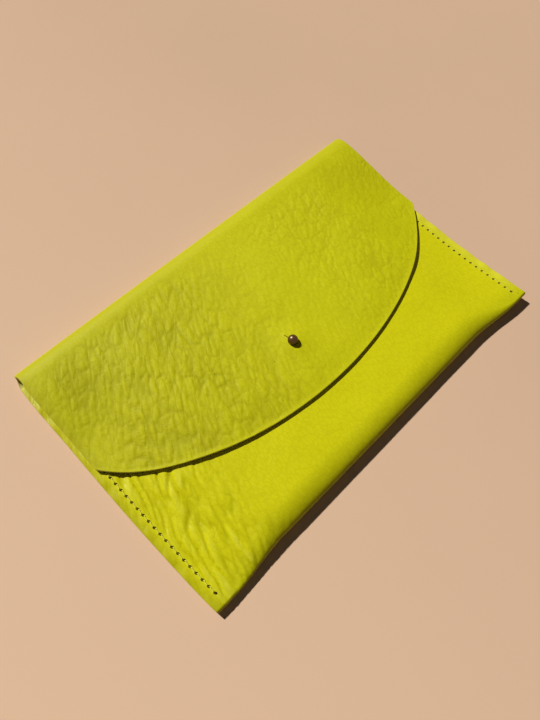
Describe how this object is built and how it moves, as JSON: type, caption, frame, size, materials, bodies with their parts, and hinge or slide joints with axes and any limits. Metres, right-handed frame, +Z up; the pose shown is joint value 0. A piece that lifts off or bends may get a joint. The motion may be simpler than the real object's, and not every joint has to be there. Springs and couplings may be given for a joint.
{
  "type": "leather envelope pouch",
  "caption": "Flat envelope pouch of soft lime leather, sewn down both sides, with a round-edged flap that folds over and closes on a brass ball stud.",
  "frame": {"origin": "on the surface that the pouch lies on, below the middle of its outline", "axes": "+X along the long side, +Y from the bottom fold to the top fold, +Z up out of the front panel and the flap; the pouch lies on its back with the flap closed"},
  "size_m": [0.2176, 0.1366, 0.0146],
  "materials": {
    "lime_leather": "soft shrunken grain, satin",
    "aged_brass": "aged, polished",
    "lime_thread": "waxed twisted thread"
  },
  "bodies": {
    "pouch": {"pouch_shell": "lime_leather", "stud_head": "aged_brass", "stud_screw": "aged_brass", "needle_thread_left": "lime_thread", "needle_thread_right": "lime_thread", "bobbin_thread_left": "lime_thread", "bobbin_thread_right": "lime_thread"},
    "fold": {"top_fold": "lime_leather"},
    "flap": {"flap": "lime_leather"}
  },
  "joints": [
    {"name": "flap_fold_lower", "type": "hinge", "parent": "pouch", "child": "fold", "pos_m": [0, 0.0668, 0.00145], "axis": [-1, 0, 0], "range_deg": [0, 90]},
    {"name": "flap_fold_upper", "type": "hinge", "parent": "fold", "child": "flap", "pos_m": [0, 0.0668, 0.00845], "axis": [-1, 0, 0], "range_deg": [0, 90]}
  ],
  "couplings": [
    {"joint": "flap_fold_upper", "follows": "flap_fold_lower", "ratio": 1}
  ]
}
